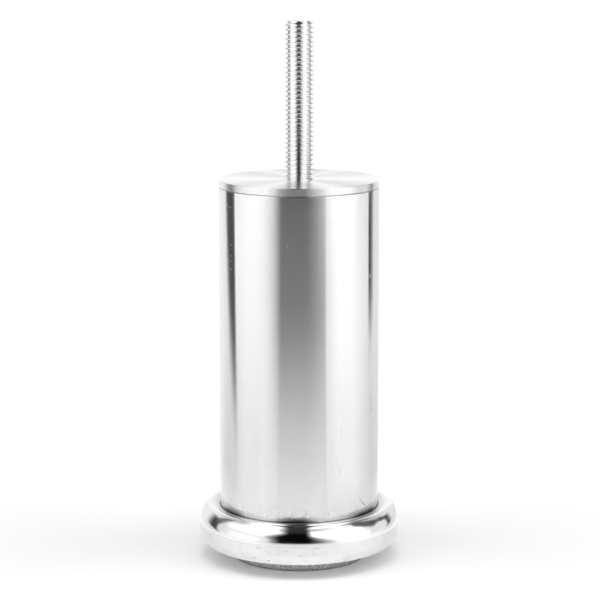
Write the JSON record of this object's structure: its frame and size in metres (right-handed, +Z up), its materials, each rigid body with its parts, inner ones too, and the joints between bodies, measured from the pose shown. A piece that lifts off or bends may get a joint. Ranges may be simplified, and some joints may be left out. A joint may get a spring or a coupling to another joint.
{
  "type": "furniture foot",
  "caption": "Round polished aluminium furniture foot: tube on a turned beaded base with a felt pad, capped by a plate from which a threaded stud stands up.",
  "frame": {"origin": "on the floor, under the middle of the felt pad", "axes": "+Z up along the foot's axis, towards the stud"},
  "size_m": [0.0542, 0.0542, 0.1455],
  "materials": {
    "polished_aluminium": "polished bright",
    "turned_aluminium": "fine turned face",
    "zinc_steel": "bright zinc plated",
    "felt": "grey pressed wool felt"
  },
  "bodies": {
    "root": {"felt_pad": "felt", "foot_base": "polished_aluminium", "leg_tube": "polished_aluminium", "top_plate": "turned_aluminium", "threaded_rod": "zinc_steel", "clamp_washer": "zinc_steel", "clamp_nut": "zinc_steel"}
  },
  "joints": []
}
